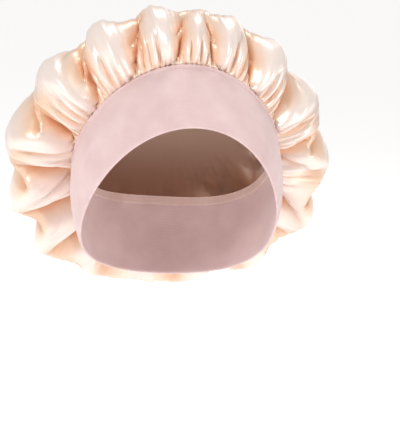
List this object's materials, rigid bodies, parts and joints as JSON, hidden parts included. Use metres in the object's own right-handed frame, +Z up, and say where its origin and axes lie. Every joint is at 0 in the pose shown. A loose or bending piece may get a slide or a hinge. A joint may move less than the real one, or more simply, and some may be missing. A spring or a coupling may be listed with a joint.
{
  "type": "sleep bonnet",
  "caption": "Satin sleep bonnet in its worn form: a full, gathered crown on a wide stretch-knit headband that slants from the hairline to the nape.",
  "frame": {"origin": "centre of the head that the bonnet is worn on", "axes": "+Z up, -Y the way the wearer faces, +X towards the wearer's left"},
  "size_m": [0.2653, 0.2422, 0.2528],
  "materials": {
    "satin": "glossy champagne satin",
    "knit": "matte pale pink stretch jersey",
    "overlock": "matte overlocked thread"
  },
  "bodies": {
    "root": {"headband": "knit", "seam_allowance": "overlock", "crown": "satin"}
  },
  "joints": []
}
